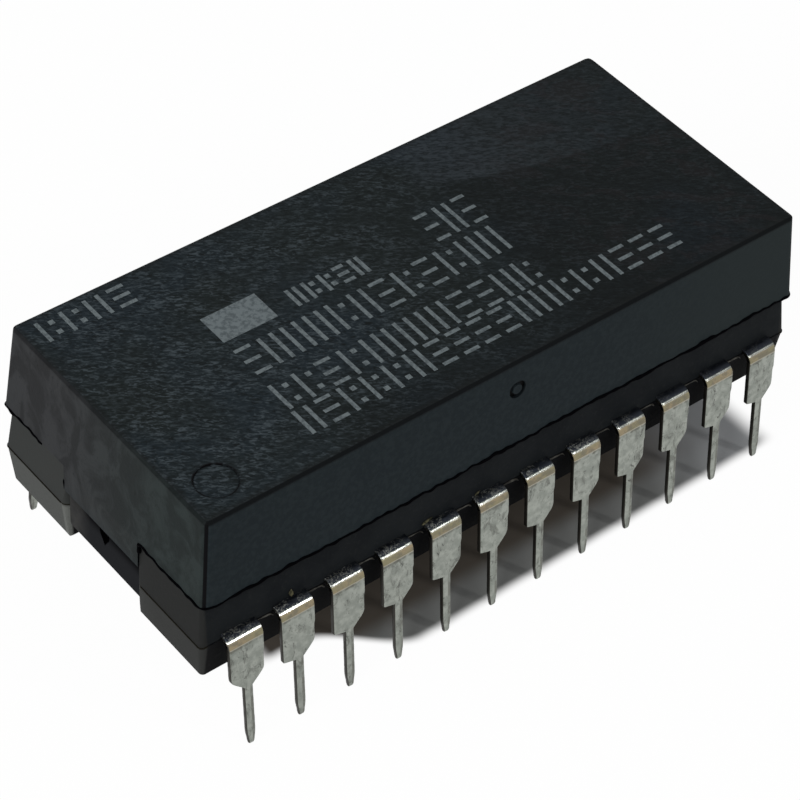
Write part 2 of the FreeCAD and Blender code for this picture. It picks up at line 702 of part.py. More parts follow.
fill_sheet()
leads = [make_lead(place, far) for far in (False, True) for place in range(1, LEADS_PER_SIDE + 1)]
terminals = [make_terminal("battery_terminal_positive", "1", False),
             make_terminal("battery_terminal_negative", "-1", False),
             make_terminal("crystal_terminal_a", "1", True),
             make_terminal("crystal_terminal_b", "-1", True)]
paddle = make_paddle()
die = make_die()
bond_wires = make_bond_wires()
cell = make_cell()
tabs = [make_tab("battery_tab_positive", "1", "cell_top", "(cell_top + tab_thickness)", "down"),
        make_tab("battery_tab_negative", "-1", "(cell_level - tab_thickness)", "cell_level", "up")]
crystal = make_crystal()
crystal_leads = [make_crystal_lead("crystal_lead_a", "1"), make_crystal_lead("crystal_lead_b", "-1")]
cap = make_cap()
base = cut_out("base_body", make_base_moulding(), [leads + terminals, [paddle], [die], [bond_wires]])
potting = cut_out("potting_compound", make_filling(), [[cell, crystal], tabs + crystal_leads, terminals])
doc.recompute()

subparts = leads + terminals + [paddle, die, bond_wires, base, cap, potting, cell] + tabs
subparts += [crystal] + crystal_leads
for item in doc.Objects:
    if "Invalid" in item.State or "Error" in item.State:
        raise RuntimeError(f"{item.Label} did not compute: {item.State}")
for item in subparts:
    if item.Shape.isNull() or not item.Shape.isValid():
        raise RuntimeError(f"{item.Label} has no valid shape")
    if item is not bond_wires and len(item.Shape.Solids) != 1:
        raise RuntimeError(f"{item.Label} has {len(item.Shape.Solids)} solids")

os.makedirs("parts", exist_ok=True)
for item in subparts:
    item.Shape.exportStep(f"parts/{item.Label}.step")
print(len(subparts), "sub-parts written")
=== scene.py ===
import bpy
import numpy as np
from mathutils import Matrix, Vector


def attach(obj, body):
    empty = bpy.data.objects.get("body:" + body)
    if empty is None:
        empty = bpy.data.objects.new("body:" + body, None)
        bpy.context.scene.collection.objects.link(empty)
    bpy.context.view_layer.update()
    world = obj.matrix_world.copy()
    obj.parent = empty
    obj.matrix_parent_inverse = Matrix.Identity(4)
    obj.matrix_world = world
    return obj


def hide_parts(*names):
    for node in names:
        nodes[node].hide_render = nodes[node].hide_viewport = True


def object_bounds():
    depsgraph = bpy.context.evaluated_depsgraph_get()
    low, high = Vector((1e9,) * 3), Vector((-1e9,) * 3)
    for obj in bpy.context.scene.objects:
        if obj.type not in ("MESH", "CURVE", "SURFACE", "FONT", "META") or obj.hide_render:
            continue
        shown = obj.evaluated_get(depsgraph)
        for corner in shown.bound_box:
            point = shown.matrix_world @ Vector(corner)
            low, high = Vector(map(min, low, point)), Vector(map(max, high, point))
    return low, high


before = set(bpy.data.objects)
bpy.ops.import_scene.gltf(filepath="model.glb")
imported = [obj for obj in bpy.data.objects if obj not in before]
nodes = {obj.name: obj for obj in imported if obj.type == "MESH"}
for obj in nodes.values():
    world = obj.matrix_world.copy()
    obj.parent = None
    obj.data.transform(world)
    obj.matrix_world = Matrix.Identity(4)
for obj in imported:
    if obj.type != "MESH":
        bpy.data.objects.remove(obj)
cad_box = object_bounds()

# The view. A long lens looks down over the lead 1 corner, so the near row of leads, the left end and
# the cap's top all show.
MM = 0.001
camera_place = Vector((-59.93, -67.95, 90.65)) * MM
camera_forward = Vector((0.4705, 0.5360, -0.7009)).normalized()
camera_right = Vector((0.7830, -0.6199, 0.0515))
camera_right = (camera_right - camera_forward * camera_right.dot(camera_forward)).normalized()
camera_up = camera_right.cross(camera_forward)

lens = bpy.data.cameras.new("camera")
lens.lens = 132.94
lens.sensor_width = 36.0
lens.clip_start = 1 * MM
camera = bpy.data.objects.new("camera", lens)
bpy.context.scene.collection.objects.link(camera)
turned = Matrix((camera_right, camera_up, -camera_forward)).transposed()
camera.matrix_world = Matrix.Translation(camera_place) @ turned.to_4x4()
bpy.context.scene.camera = camera
bpy.context.scene.view_settings.view_transform = "Standard"

# The stand. A plain white sheet that the lead tips rest on, with a painted shadow under the module,
# below a large soft lamp on the left, a weak one in front, a small bright window beyond it and an even
# pale room.
ROOM_STRENGTH = 0.28
SHEET_GLOW = 0.975
PALE = (0.93, 0.93, 0.92, 1.0)
PAINTED_SHADOW_UNDER_MODULE = (0.10, 0.087, 0.073, 1.0)
PAINTED_SHADOW_BY_THE_TIPS = (0.20, 0.205, 0.20, 1.0)
PAINTED_SHADOW_OPEN_END = (0.34, 0.35, 0.36, 1.0)
WHITE = (1.0, 1.0, 1.0, 1.0)
SHEET_HALF = 0.6
# The painted shadow on the ground in millimetres: its soft left and right ends, how its half width
# grows from the left to the middle, and how soft its sides are
PAINTED_SHADOW_LEFT = (-11.6, -10.4)
PAINTED_SHADOW_RIGHT = (15.8, 14.4)
PAINTED_SHADOW_WIDENING = (-9.2, -4.8, 4.9, 7.7)
PAINTED_SHADOW_SOFT = 0.35


def link(tree, source, socket):
    """Carries a node's output to a socket."""
    tree.links.new(source, socket)


def feed(tree, socket, value):
    """Sets a socket to a value, or links it where the value is another socket."""
    if isinstance(value, bpy.types.NodeSocket):
        link(tree, value, socket)
    else:
        socket.default_value = value


def add_node(tree, kind, **settings):
    """A shader node whose inputs are set by name, with underscores for spaces; a socket is linked."""
    made = tree.nodes.new(kind)
    for name, value in settings.items():
        words = name.replace("_", " ")
        if words in made.inputs:
            feed(tree, made.inputs[words], value)
        else:
            setattr(made, name, value)
    return made


def object_place(tree, scale=(1, 1, 1), turn=0.0):
    """Object coordinates in millimetres, turned about the upright axis and then multiplied by a scale."""
    place = add_node(tree, "ShaderNodeTexCoord")
    mapped = add_node(tree, "ShaderNodeMapping", vector_type="TEXTURE", Rotation=(0, 0, -turn),
                      Scale=[MM / part for part in scale])
    link(tree, place.outputs["Object"], mapped.inputs["Vector"])
    return mapped.outputs["Vector"]


def coordinates(tree, place):
    """A place's three coordinates: along the rows, across them and up."""
    parts = add_node(tree, "ShaderNodeSeparateXYZ", Vector=place)
    return [parts.outputs[axis] for axis in "XYZ"]


def blend_colours(tree, share, first, second, kind="MIX"):
    """The two colours mixed by a share, each a colour or a socket. The Mix node keeps its sockets for
    colours behind those for numbers and for vectors."""
    mix = add_node(tree, "ShaderNodeMix", data_type="RGBA", blend_type=kind)
    for index, value in ((0, share), (6, first), (7, second)):
        feed(tree, mix.inputs[index], value)
    return mix.outputs[2]


def remap(tree, value, low, high, bottom=0.0, top=1.0):
    """A value brought from one range to another and held inside it, eased at both ends."""
    made = add_node(tree, "ShaderNodeMapRange", interpolation_type="SMOOTHSTEP", Value=value,
                    From_Min=low, From_Max=high, To_Min=bottom, To_Max=top)
    return made.outputs["Result"]


def arithmetic(tree, operation, *values):
    """The result of one operation on numbers and sockets."""
    made = add_node(tree, "ShaderNodeMath", operation=operation)
    for index, value in enumerate(values):
        feed(tree, made.inputs[index], value)
    return made.outputs[0]


def product(tree, first, *others):
    """Numbers and sockets multiplied together."""
    for other in others:
        first = arithmetic(tree, "MULTIPLY", first, other)
    return first


def seen_directly(tree):
    """1 for rays from the camera, a reflection or a refraction, and 0 for rays that light surfaces."""
    path = add_node(tree, "ShaderNodeLightPath")
    seen = arithmetic(tree, "MAXIMUM", path.outputs["Is Camera Ray"], path.outputs["Is Glossy Ray"])
    return arithmetic(tree, "MAXIMUM", seen, path.outputs["Is Transmission Ray"])


def show_mixed(tree, share, first, second, output_kind):
    """Ends a tree with two shaders mixed by a share."""
    both = add_node(tree, "ShaderNodeMixShader", Fac=share)
    link(tree, first.outputs[0], both.inputs[1])
    link(tree, second.outputs[0], both.inputs[2])
    link(tree, both.outputs[0], add_node(tree, output_kind).inputs["Surface"])


room = bpy.data.worlds.new("room")
room.use_nodes = True
tree = room.node_tree
tree.nodes.clear()
lit = add_node(tree, "ShaderNodeBackground", Color=WHITE, Strength=ROOM_STRENGTH)
shown = add_node(tree, "ShaderNodeBackground", Color=WHITE, Strength=1.0)
show_mixed(tree, seen_directly(tree), lit, shown, "ShaderNodeOutputWorld")
bpy.context.scene.world = room

sheet_finish = bpy.data.materials.new("white_sheet")
sheet_finish.use_nodes = True
tree = sheet_finish.node_tree
tree.nodes.clear()
along, across, _ = coordinates(tree, object_place(tree))
aside = arithmetic(tree, "ABSOLUTE", across)
past = arithmetic(tree, "SUBTRACT", aside, remap(tree, along, *PAINTED_SHADOW_WIDENING))
shadow_share = product(tree, remap(tree, along, *PAINTED_SHADOW_LEFT), remap(tree, along, *PAINTED_SHADOW_RIGHT),
                  remap(tree, past, PAINTED_SHADOW_SOFT, -PAINTED_SHADOW_SOFT))
# Painted shadow on the sheet under the module: brown near the base, grey by the lead tips and paler
# towards the right end. The sheet also stops glowing there, so the lamps' shadow shows too.
painted_shadow = blend_colours(tree, remap(tree, aside, 5.6, 6.7), PAINTED_SHADOW_UNDER_MODULE, PAINTED_SHADOW_BY_THE_TIPS)
painted_shadow = blend_colours(tree, remap(tree, along, 8.0, 14.0), painted_shadow, PAINTED_SHADOW_OPEN_END)
paper = add_node(tree, "ShaderNodeBsdfDiffuse", Color=blend_colours(tree, shadow_share, PALE, painted_shadow))
glow = add_node(tree, "ShaderNodeEmission", Color=WHITE, Strength=1.0)
glowing = arithmetic(tree, "SUBTRACT", SHEET_GLOW, product(tree, shadow_share, SHEET_GLOW))
show_mixed(tree, product(tree, seen_directly(tree), glowing), paper, glow, "ShaderNodeOutputMaterial")

sheet_level = cad_box[0].z
sheet_mesh = bpy.data.meshes.new("white_sheet")
sheet_mesh.from_pydata([(-SHEET_HALF, -SHEET_HALF, sheet_level), (SHEET_HALF, -SHEET_HALF, sheet_level),
                        (SHEET_HALF, SHEET_HALF, sheet_level), (-SHEET_HALF, SHEET_HALF, sheet_level)],
                       [], [(0, 1, 2, 3)])
sheet_mesh.materials.append(sheet_finish)
white_sheet = bpy.data.objects.new("white_sheet", sheet_mesh)
bpy.context.scene.collection.objects.link(white_sheet)


def add_lamp(name, place, size, watts):
    """A square soft lamp that faces the middle of the module."""
    data = bpy.data.lights.new(name, "AREA")
    data.size = size
    data.energy = watts
    lamp = bpy.data.objects.new(name, data)
    bpy.context.scene.collection.objects.link(lamp)
    lamp.location = place
    lamp.rotation_euler = (-Vector(place)).to_track_quat("-Z", "Y").to_euler()


add_lamp("left_lamp", (-0.34, -0.10, 0.22), 0.22, 1.25)
add_lamp("front_lamp", (0.02, -0.36, 0.30), 0.26, 0.22)
add_lamp("window", (0.185, -0.356, 0.301), 0.05, 0.4)


# The leads. Each is stamped from a copper alloy strip and dipped in tin: a shoulder leaves the base
# at its parting plane, bends down and splays a little, and is sheared in to a narrow tip.
LEADS_PER_SIDE = 12
lead_pitch = 2.54 * MM
strip = 0.25 * MM
row_half = 7.62 * MM
splay = np.radians(5.8)
bend_inside = 0.25 * MM
bend_swell = 0.012 * MM
lead_top = 2.735 * MM
root_reach = 6.1 * MM
shoulder_half = 0.73 * MM
tip_half = 0.205 * MM
tip_level = -3.38 * MM
tip_taper = 0.8 * MM
tip_narrowing = 0.08 * MM
tip_thinning = 0.35
tip_rounding = 0.12 * MM
step_drop = 0.15 * MM
chamfer_rise = 0.42 * MM
chamfer_soft = 0.06 * MM
edge_round = 0.055 * MM
dam_jog = 0.045 * MM
dam_level = 1.25 * MM
unevenness = 0.009 * MM
first_coat = 0.08 * MM
coat_loss = 0.014 * MM
crusted_leads = 8


def ripples(points, wavelengths, seed):
    """A smooth uneven field: for each wavelength, the mean of sines along six random directions."""
    draw = np.random.default_rng(seed)
    total = np.zeros(points.shape[:-1])
    for wavelength in wavelengths:
        ways = draw.normal(size=(6, 3))
        ways /= np.linalg.norm(ways, axis=1)[:, None]
        shifts = draw.uniform(0, 2 * np.pi, 6)
        total += np.sin(points @ ways.T * (2 * np.pi / wavelength) + shifts).mean(axis=-1)
    return total / len(wavelengths)


def smooth_step(values, start, stop):
    """0 before start, 1 after stop, and a cubic ease between them."""
    share = np.clip((values - start) / (stop - start), 0, 1)
    return share * share * (3 - 2 * share)


def strip_section(corners=4, across=12):
    """Round the strip's section, each point as a share of the width, a corner offset across and a
    corner offset up: a flat from left to right, a half round, a flat back and a half round."""
    flat = np.linspace(0, 1, across)
    half_round = np.linspace(90, -90, 2 * corners + 1)[1:-1]
    share = np.concatenate([flat, np.ones_like(half_round), flat[::-1], np.zeros_like(half_round)])
    angle = np.radians(np.concatenate([np.full(across, 90), half_round, np.full(across, -90),
                                       half_round + 180]))
    return share, np.cos(angle), np.sin(angle)


def lead_line():
    """The middle line of the near row's lead as its reach across the base, its level and the way that
    its face looks: a run out of the base, an arc through a right angle less the splay, and a straight
    leg to the tip. Its stations are closest together round the step and the chamfer."""
    mid = bend_inside + strip / 2
    bend_level = lead_top - bend_inside - strip
    seat_reach = row_half + strip / (2 * np.cos(splay))
    bend_reach = seat_reach - (bend_inside + strip) / np.cos(splay) - bend_level * np.tan(splay)
    run = np.linspace(-root_reach, -bend_reach, 24)[:-1]
    turn = np.linspace(0, np.pi / 2 - splay, 22)
    foot = bend_level + mid * np.sin(splay)
    stops = (foot, chamfer_rise + 0.3 * MM, -step_drop - 0.2 * MM, tip_level + 0.55 * MM, tip_level)
    drops = np.concatenate([np.linspace(upper, lower, count)[1:]
                            for upper, lower, count in zip(stops, stops[1:], (26, 40, 26, 12))])
    legs = (foot - drops) / np.cos(splay)
    ends = -bend_reach - mid * np.cos(splay)
    reach = np.concatenate([run, -bend_reach - mid * np.sin(turn), ends - legs * np.sin(splay)])
    level = np.concatenate([np.full(len(run), lead_top - strip / 2), bend_level + mid * np.cos(turn),
                            drops])
    facing = np.concatenate([np.zeros(len(run)), turn, np.full(len(drops), np.pi / 2 - splay)])
    on_leg = np.arange(len(level)) >= len(run) + len(turn)
    return reach, level, facing, on_leg


def lead_surface(both_chamfered, coat, crust, seed):
    """The near row's lead at the middle of the row: the strip's section carried along its middle
    line, as wide as the shoulder and trimmed in to the tip by a square step and a chamfer. The coat of
    tin widens the shoulder on each side, and crumbs up to the crust's height stand on the run."""
    reach, level, facing, on_leg = lead_line()
    width = shoulder_half + coat + bend_swell * np.sin(facing * 2)
    slope = (shoulder_half + coat - tip_half) / (chamfer_rise + step_drop)
    chamfered = tip_half + np.clip(level + step_drop, 0, None) * slope
    chamfered = width - np.logaddexp(0, (width - chamfered) / chamfer_soft) * chamfer_soft
    chamfered = np.maximum(chamfered, tip_half)
    square = tip_half + (width - tip_half) * np.clip(level / step_drop + 1, 0, 1)
    narrow = tip_narrowing * smooth_step(-level, -tip_level - tip_taper, -tip_level)
    right = np.where(on_leg, chamfered, width) - narrow
    left = np.where(on_leg, chamfered if both_chamfered else square, width) - narrow
    right += dam_jog * smooth_step(level, dam_level, dam_level + 0.25 * MM)

    share, arm, lift = strip_section()
    thick = strip / 2 * (1 - tip_thinning * smooth_step(-level, -tip_level - tip_rounding, -tip_level))
    across = (-(left - edge_round)[:, None] + share * (left + right - 2 * edge_round)[:, None]
              + edge_round * arm)
    out_by = np.sign(lift) * (thick - edge_round)[:, None] * (np.abs(lift) > 1e-6) + edge_round * lift
    lean = facing[:, None]
    surface = np.stack([across, reach[:, None] - out_by * np.sin(lean),
                        level[:, None] + out_by * np.cos(lean)], axis=-1)
    normal = np.stack([arm * np.ones_like(lean), -lift * np.sin(lean), lift * np.cos(lean)], axis=-1)
    uneven = ripples(surface, (0.5 * MM, 0.24 * MM, 0.12 * MM), seed)
    shares = {"sheared": np.abs(arm) * np.ones_like(lean), "across": share * np.ones_like(lean)}
    crumbs = ripples(surface, (0.3 * MM, 0.13 * MM), seed + 50) * (share < 0.75)
    crusted = np.clip(crumbs, 0, None) * smooth_step(-facing, -0.5, -0.1)[:, None]
    return surface + normal * (uneven * unevenness + crusted * crust)[..., None], shares


def tube_faces(stations, around):
    """Quads between neighbouring rings that close round, and a face over each end."""
    ring = np.arange(around)
    after = (ring + 1) % around
    start = (np.arange(stations - 1) * around)[:, None]
    quads = np.stack([start + ring, start + around + ring, start + around + after, start + after],
                     axis=-1).reshape(-1, 4)
    faces = quads.tolist()
    faces.append(ring.tolist())
    faces.append((ring[::-1] + (stations - 1) * around).tolist())
    return faces


def add_piece(name, points, faces, finish, shares=None, smooth=True):
    """A piece of the module made from its points and faces, in place, riding with the rest. Shares
    are named values of each point that its finish reads."""
    mesh = bpy.data.meshes.new(name)
    mesh.from_pydata(np.asarray(points).reshape(-1, 3).tolist(), [], faces)
    mesh.materials.append(finish)
    if smooth:
        mesh.shade_smooth()
    for share_name, values in (shares or {}).items():
        kept = mesh.attributes.new(share_name, "FLOAT", "POINT")
        kept.data.foreach_set("value", np.asarray(values, dtype=np.float32).ravel())
    made = bpy.data.objects.new(name, mesh)
    bpy.context.scene.collection.objects.link(made)
    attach(made, "root")
    return made


def new_finish(name, **settings):
    """A material with one Principled shader; returns the material, its tree and the shader."""
    finish = bpy.data.materials.new(name)
    finish.use_nodes = True
    tree = finish.node_tree
    shader = tree.nodes["Principled BSDF"]
    for words, value in settings.items():
        shader.inputs[words.replace("_", " ")].default_value = value
    return finish, tree, shader


def noise(tree, place, scale, **settings):
    """An uneven field from 0 to 1, with more lumps in a millimetre as the scale grows."""
    return add_node(tree, "ShaderNodeTexNoise", Vector=place, Scale=scale, **settings).outputs["Fac"]


def add_bump(tree, shader, height, depth):
    """Relief from a height of 0 to 1, whose depth is given in millimetres."""
    relief = add_node(tree, "ShaderNodeBump", Height=height, Strength=1.0, Distance=depth * MM)
    link(tree, relief.outputs[0], shader.inputs["Normal"])


def band(tree, value, start, stop, soft):
    """1 between two values, with soft ends."""
    return product(tree, remap(tree, value, start - soft, start + soft),
                   remap(tree, value, stop + soft, stop - soft))


def scuffed_tin(tree, grain, scuff):
    """The flat faces' colour: dull tin in two greys with darker scuffs, and thin dark scores where a
    slow field crosses its middle."""
    streak = noise(tree, object_place(tree, (1.4, 1.4, 0.7)), 2.2, Distortion=1.6)
    colour = blend_colours(tree, remap(tree, grain, 0.35, 0.68),
                           (0.235, 0.252, 0.225, 1), (0.345, 0.363, 0.328, 1))
    colour = blend_colours(tree, remap(tree, scuff, 0.52, 0.68, 0.0, 0.7), colour, (0.12, 0.125, 0.11, 1))
    off_middle = arithmetic(tree, "ABSOLUTE", arithmetic(tree, "SUBTRACT", streak, 0.5))
    scored = product(tree, remap(tree, off_middle, 0.022, 0.0), remap(tree, scuff, 0.45, 0.58, 0.0, 0.85))
    return blend_colours(tree, scored, colour, (0.05, 0.05, 0.045, 1))


def bend_painted_reflection(tree, x, level, place, grain, colour):
    """A colour with the bend over it: a painted warm reflection between two pale painted highlight lines,
    of which the upper one is near white on the first two leads."""
    slow = noise(tree, place, 0.8)
    # Painted warm reflection across the bend, mottled by grain.
    rubbed = blend_colours(tree, remap(tree, slow, 0.42, 0.58),
                           (0.275, 0.226, 0.146, 1), (0.228, 0.208, 0.13, 1))
    rubbed = blend_colours(tree, remap(tree, grain, 0.44, 0.62, 0.0, 0.7), rubbed, (0.15, 0.14, 0.11, 1))
    colour = blend_colours(tree, band(tree, level, 2.29, 2.57, 0.015), colour, rubbed)
    # Painted highlight lines: a pale one where the bend ends, and one at the top of the bend that is near
    # white on the first two leads only.
    colour = blend_colours(tree, band(tree, level, 2.25, 2.29, 0.012), colour, (0.36, 0.335, 0.27, 1))
    bright = blend_colours(tree, remap(tree, x, -9.6, -10.2), (0.16, 0.158, 0.145, 1),
                           (0.85, 0.84, 0.8, 1))
    return blend_colours(tree, band(tree, level, 2.575, 2.61, 0.012), colour, bright)


def tin_finish():
    """Dull scuffed tin with a painted warm reflection and painted highlights round the bend, a painted
    dark reflection under pale crumbs of tin on the shoulder, painted shade along the sheared edges, and
    dark beside the tip."""
    finish, tree, shader = new_finish("dipped_tin", Metallic=1.0)
    place = object_place(tree)
    x, _, level = coordinates(tree, place)
    across = add_node(tree, "ShaderNodeAttribute", attribute_name="across").outputs["Fac"]
    sheared = add_node(tree, "ShaderNodeAttribute", attribute_name="sheared").outputs["Fac"]
    grain = noise(tree, place, 2.6, Detail=4.0, Roughness=0.6)
    fine = noise(tree, place, 14.0, Detail=3.0, Roughness=0.6)
    scuff = noise(tree, object_place(tree, (1.7, 1.7, 0.8)), 1.5, Detail=5.0, Roughness=0.62,
                  Distortion=1.0)
    colour = scuffed_tin(tree, grain, scuff)
    beside_tip = product(tree, remap(tree, across, 0.55, 0.75), remap(tree, level, 0.1, -0.5, 0.0, 0.75),
                         remap(tree, grain, 0.35, 0.55))
    colour = blend_colours(tree, beside_tip, colour, (0.12, 0.12, 0.105, 1))
    under_bend = product(tree, band(tree, level, 2.13, 2.24, 0.03),
                         remap(tree, scuff, 0.42, 0.56, 0.1, 0.8))
    colour = blend_colours(tree, under_bend, colour, (0.13, 0.13, 0.105, 1))
    colour = bend_painted_reflection(tree, x, level, place, grain, colour)
    crumbs = product(tree, remap(tree, fine, 0.46, 0.58), remap(tree, grain, 0.42, 0.52),
                     remap(tree, across, 0.95, 0.45, 0.25, 1.0), remap(tree, x, 5.0, 7.5, 1.0, 0.2))
    # The shoulder's near-black tin is a painted dark reflection; the pale crumbs on it are tin.
    shoulder = blend_colours(tree, crumbs, (0.018, 0.021, 0.027, 1), (0.13, 0.135, 0.125, 1))
    colour = blend_colours(tree, remap(tree, level, 2.61, 2.65), colour, shoulder)
    # Painted shade along the sheared side faces below the shoulder.
    edge = product(tree, remap(tree, sheared, 0.6, 0.9), remap(tree, level, 2.56, 2.45))
    colour = blend_colours(tree, edge, colour, (0.035, 0.033, 0.028, 1))
    link(tree, colour, shader.inputs["Base Color"])
    rough = arithmetic(tree, "SUBTRACT", remap(tree, grain, 0.3, 0.7, 0.44, 0.56),
                       product(tree, band(tree, level, 2.29, 2.64, 0.02), 0.26))
    link(tree, rough, shader.inputs["Roughness"])
    add_bump(tree, shader, arithmetic(tree, "ADD", grain, product(tree, fine, 0.35)), 0.006)
    return finish


dipped_tin = tin_finish()
for far_row in (False, True):
    for place in range(1, LEADS_PER_SIDE + 1):
        number = place + (LEADS_PER_SIDE if far_row else 0)
        coat = max(first_coat - coat_loss * (place - 1), 0.0)
        crust = (0.1 if place <= crusted_leads else 0.02) * MM
        points, shares = lead_surface(place == 1, coat, crust, seed=number)
        points[..., 0] += (place - (LEADS_PER_SIDE + 1) / 2) * lead_pitch
        if far_row:
            points[..., :2] *= -1
        faces = tube_faces(*points.shape[:2])
        lead = add_piece(f"tinned_lead_{number:02d}", points, faces, dipped_tin, shares)
        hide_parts(f"lead_{number:02d}")


# The base. Black moulding compound in two halves that part at the middle of the lead strip, with
# painted shade on its sides, a painted sheen on the end blocks and some dust low on them, and a thin
# flash of it squeezed out between the shoulders.
PARTING = 2.485
LIP_START = 0.74
LIP_LENGTH = 0.84
LIP_SIDE = 6.95


def moulding_finish():
    """Fine matte grain over slow patches, with painted shade on the sides below the parting line and under
    the cap's rim; the ends carry a painted sheen that makes them paler, and their lower halves are paler
    still, partly dust and partly painted bounce light, with a painted reflection on the flare by the
    notch.
    """
    finish, tree, shader = new_finish("base_compound", Roughness=0.6, Specular_IOR_Level=0.03)
    place = object_place(tree)
    x, y, level = coordinates(tree, place)
    slow = noise(tree, place, 0.5, Detail=3.0)
    fine = noise(tree, place, 5.0, Detail=5.0, Roughness=0.7)
    side = blend_colours(tree, remap(tree, slow, 0.35, 0.65),
                         (0.0060, 0.0072, 0.0084, 1), (0.0092, 0.0108, 0.0120, 1))
    # Painted shade on the sides below the parting line, where the leads shade them.
    side = blend_colours(tree, remap(tree, level, 2.56, 2.50), side, (0.002, 0.0022, 0.0028, 1))
    # Painted shadow on the sides under the cap's rim.
    side = blend_colours(tree, remap(tree, level, 4.1, 4.6, 0.0, 0.7), side, (0.002, 0.0022, 0.0026, 1))
    # The end blocks are painted paler than the sides as a sheen of the bright room, and their lower halves
    # paler still, partly dust and partly painted bounce light from the sheet.
    end = blend_colours(tree, remap(tree, level, 2.50, 2.42), (0.031, 0.033, 0.032, 1),
                        (0.064, 0.067, 0.064, 1))
    end = blend_colours(tree, remap(tree, y, 1.0, -4.0, 0.0, 0.72), end, (0.010, 0.010, 0.010, 1))
    end = blend_colours(tree, band(tree, level, 2.45, 2.525, 0.012), end, (0.009, 0.008, 0.005, 1))
    # A painted reflection: a pale strip on the flare beside the notch mouth.
    lip = product(tree, band(tree, y, 2.3, 2.8, 0.06), remap(tree, level, 2.45, 2.3))
    end = blend_colours(tree, lip, end, (0.11, 0.115, 0.108, 1))
    on_end = remap(tree, arithmetic(tree, "ABSOLUTE", x), 15.36, 15.5)
    colour = blend_colours(tree, on_end, side, end)
    colour = blend_colours(tree, remap(tree, fine, 0.5, 0.75, 0.0, 0.25), colour, (0.03, 0.031, 0.03, 1))
    link(tree, colour, shader.inputs["Base Color"])
    add_bump(tree, shader, fine, 0.008)
    return finish


def dress(finish, *names):
    """Gives CAD nodes their finish."""
    for name in names:
        data = nodes[name].data
        data.materials.clear()
        data.materials.append(finish)


def bead_surface(route, radius, stray, seed, around=8):
    """A tube round a route that swells and shrinks, wanders up and down by a length and tapers off at
    both ends."""
    ahead = np.gradient(route, axis=0)
    ahead /= np.linalg.norm(ahead, axis=1)[:, None]
    side = np.cross(ahead, (0.11, 0.07, 1.0))
    side /= np.linalg.norm(side, axis=1)[:, None]
    over = np.cross(side, ahead)
    angle = np.linspace(0, 2 * np.pi, around, endpoint=False)[:, None]
    run = np.concatenate([[0], np.cumsum(np.linalg.norm(np.diff(route, axis=0), axis=1))])
    ease = smooth_step(np.minimum(run, run[-1] - run), -0.05 * MM, 0.2 * MM)
    thick = radius * ease * (1 + 1.1 * ripples(route, (1.9 * MM, 0.5 * MM), seed))
    wander = over * (stray * ripples(route, (1.9 * MM, 0.6 * MM), seed + 1))[:, None]
    ring = side[:, None] * np.cos(angle) + over[:, None] * np.sin(angle)
    return (route + wander)[:, None] + ring * thick[:, None, None]


def laid_route(corners, spacing, soft):
    """Points at even spacing along straight runs between corners, which are eased over a length by a
    moving mean."""
    corners = np.array(corners) * MM
    run = np.concatenate([[0], np.cumsum(np.linalg.norm(np.diff(corners, axis=0), axis=1))])
    stations = np.linspace(0, run[-1], int(run[-1] / spacing) + 1)
    route = np.stack([np.interp(stations, run, axis) for axis in corners.T], axis=1)
    width = int(soft / spacing) * 2 + 1
    padded = np.pad(route, ((width // 2, width // 2), (0, 0)), mode="reflect", reflect_type="odd")
    return np.stack([np.convolve(axis, np.ones(width) / width, mode="valid") for axis in padded.T],
                    axis=1)


def flash_finish():
    """The flash's thin lip, rubbed to a warm grey."""
    finish, tree, shader = new_finish("flash_lip", Roughness=0.5, Specular_IOR_Level=0.1)
    grain = noise(tree, object_place(tree), 3.0, Detail=3.0)
    link(tree, blend_colours(tree, remap(tree, grain, 0.38, 0.6),
                             (0.022, 0.021, 0.018, 1), (0.062, 0.06, 0.053, 1)),
         shader.inputs["Base Color"])
    add_bump(tree, shader, grain, 0.01)
    return finish


dress(moulding_finish(), "base_body")
flash_lip = flash_finish()
for side_name, turned_by in (("near", 1), ("far", -1)):
    for gap in range(1, LEADS_PER_SIDE):
        start = (gap - (LEADS_PER_SIDE + 1) / 2) * lead_pitch / MM + LIP_START
        stop = start + LIP_LENGTH
        route = laid_route([(start, -LIP_SIDE, PARTING), (stop, -LIP_SIDE - 0.02, PARTING - 0.01),
                            (stop + 0.21, -LIP_SIDE + 0.03, PARTING - 0.3)], 0.03 * MM, 0.12 * MM)
        points = bead_surface(route, 0.03 * MM, 0.015 * MM, seed=40 + gap)
        points[..., :2] *= turned_by
        add_piece(f"parting_flash_{side_name}_{gap:02d}", points, tube_faces(*points.shape[:2]),
                  flash_lip)


# The slivers. Three crumbs of olive resin flash from the moulding, still stuck to the base's near
# side by the shoulders of the leads.
def sliver_finish():
    """Olive resin in dark and pale grains."""
    finish, tree, shader = new_finish("olive_flash", Roughness=0.6, Specular_IOR_Level=0.05)
    grain = noise(tree, object_place(tree), 5.0, Detail=3.0)
    link(tree, blend_colours(tree, remap(tree, grain, 0.4, 0.6),
                             (0.02, 0.02, 0.012, 1), (0.085, 0.078, 0.045, 1)),
         shader.inputs["Base Color"])
    return finish


olive_flash = sliver_finish()
# First and last point, and radius
sliver_runs = (((-11.32, -6.88, 3.14), (-11.38, -6.97, 2.8), 0.1),
               ((-4.72, -6.95, 2.74), (-4.12, -6.92, 2.88), 0.07),
               ((-1.9, -6.94, 2.8), (-1.62, -6.92, 2.9), 0.06))
for order, (first, last, radius) in enumerate(sliver_runs):
    points = bead_surface(laid_route((first, last), 0.03 * MM, 0.03 * MM), radius * MM, 0.03 * MM,
                          seed=110 + order)
    add_piece(f"resin_sliver_{order + 1}", points, tube_faces(*points.shape[:2]), olive_flash)


